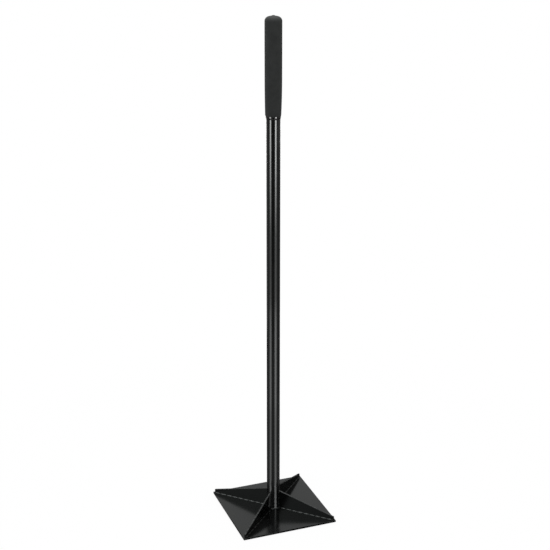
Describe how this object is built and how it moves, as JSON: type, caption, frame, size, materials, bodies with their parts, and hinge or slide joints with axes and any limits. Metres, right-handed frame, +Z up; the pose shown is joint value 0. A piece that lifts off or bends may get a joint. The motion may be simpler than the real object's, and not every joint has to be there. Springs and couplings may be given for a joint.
{
  "type": "hand tamper",
  "caption": "Hand tamper: a square flat steel plate braced by welded corner ribs, on an upright tubular handle with a soft closed-end grip, for packing soil by hand.",
  "frame": {"origin": "middle of the plate's working face, which rests on the ground", "axes": "+Z up the handle, X and Y along the plate's sides"},
  "size_m": [0.2032, 0.2032, 1.0344],
  "materials": {
    "black_paint": "satin black paint on steel",
    "painted_weld": "black paint over a rippled weld bead",
    "plug_plastic": "moulded black plastic",
    "collar_plastic": "gloss black plastic",
    "grip_rubber": "matte black soft rubber foam"
  },
  "bodies": {
    "root": {"base_plate": "black_paint", "handle_tube": "black_paint", "tube_foot_weld": "painted_weld", "rib_front_right": "black_paint", "rib_back_right": "black_paint", "rib_back_left": "black_paint", "rib_front_left": "black_paint", "plate_weld_front_right": "painted_weld", "plate_weld_back_right": "painted_weld", "plate_weld_back_left": "painted_weld", "plate_weld_front_left": "painted_weld", "tube_weld_front_right": "painted_weld", "tube_weld_back_right": "painted_weld", "tube_weld_back_left": "painted_weld", "tube_weld_front_left": "painted_weld", "tube_end_plug": "plug_plastic", "grip_collar": "collar_plastic", "grip": "grip_rubber"}
  },
  "joints": []
}
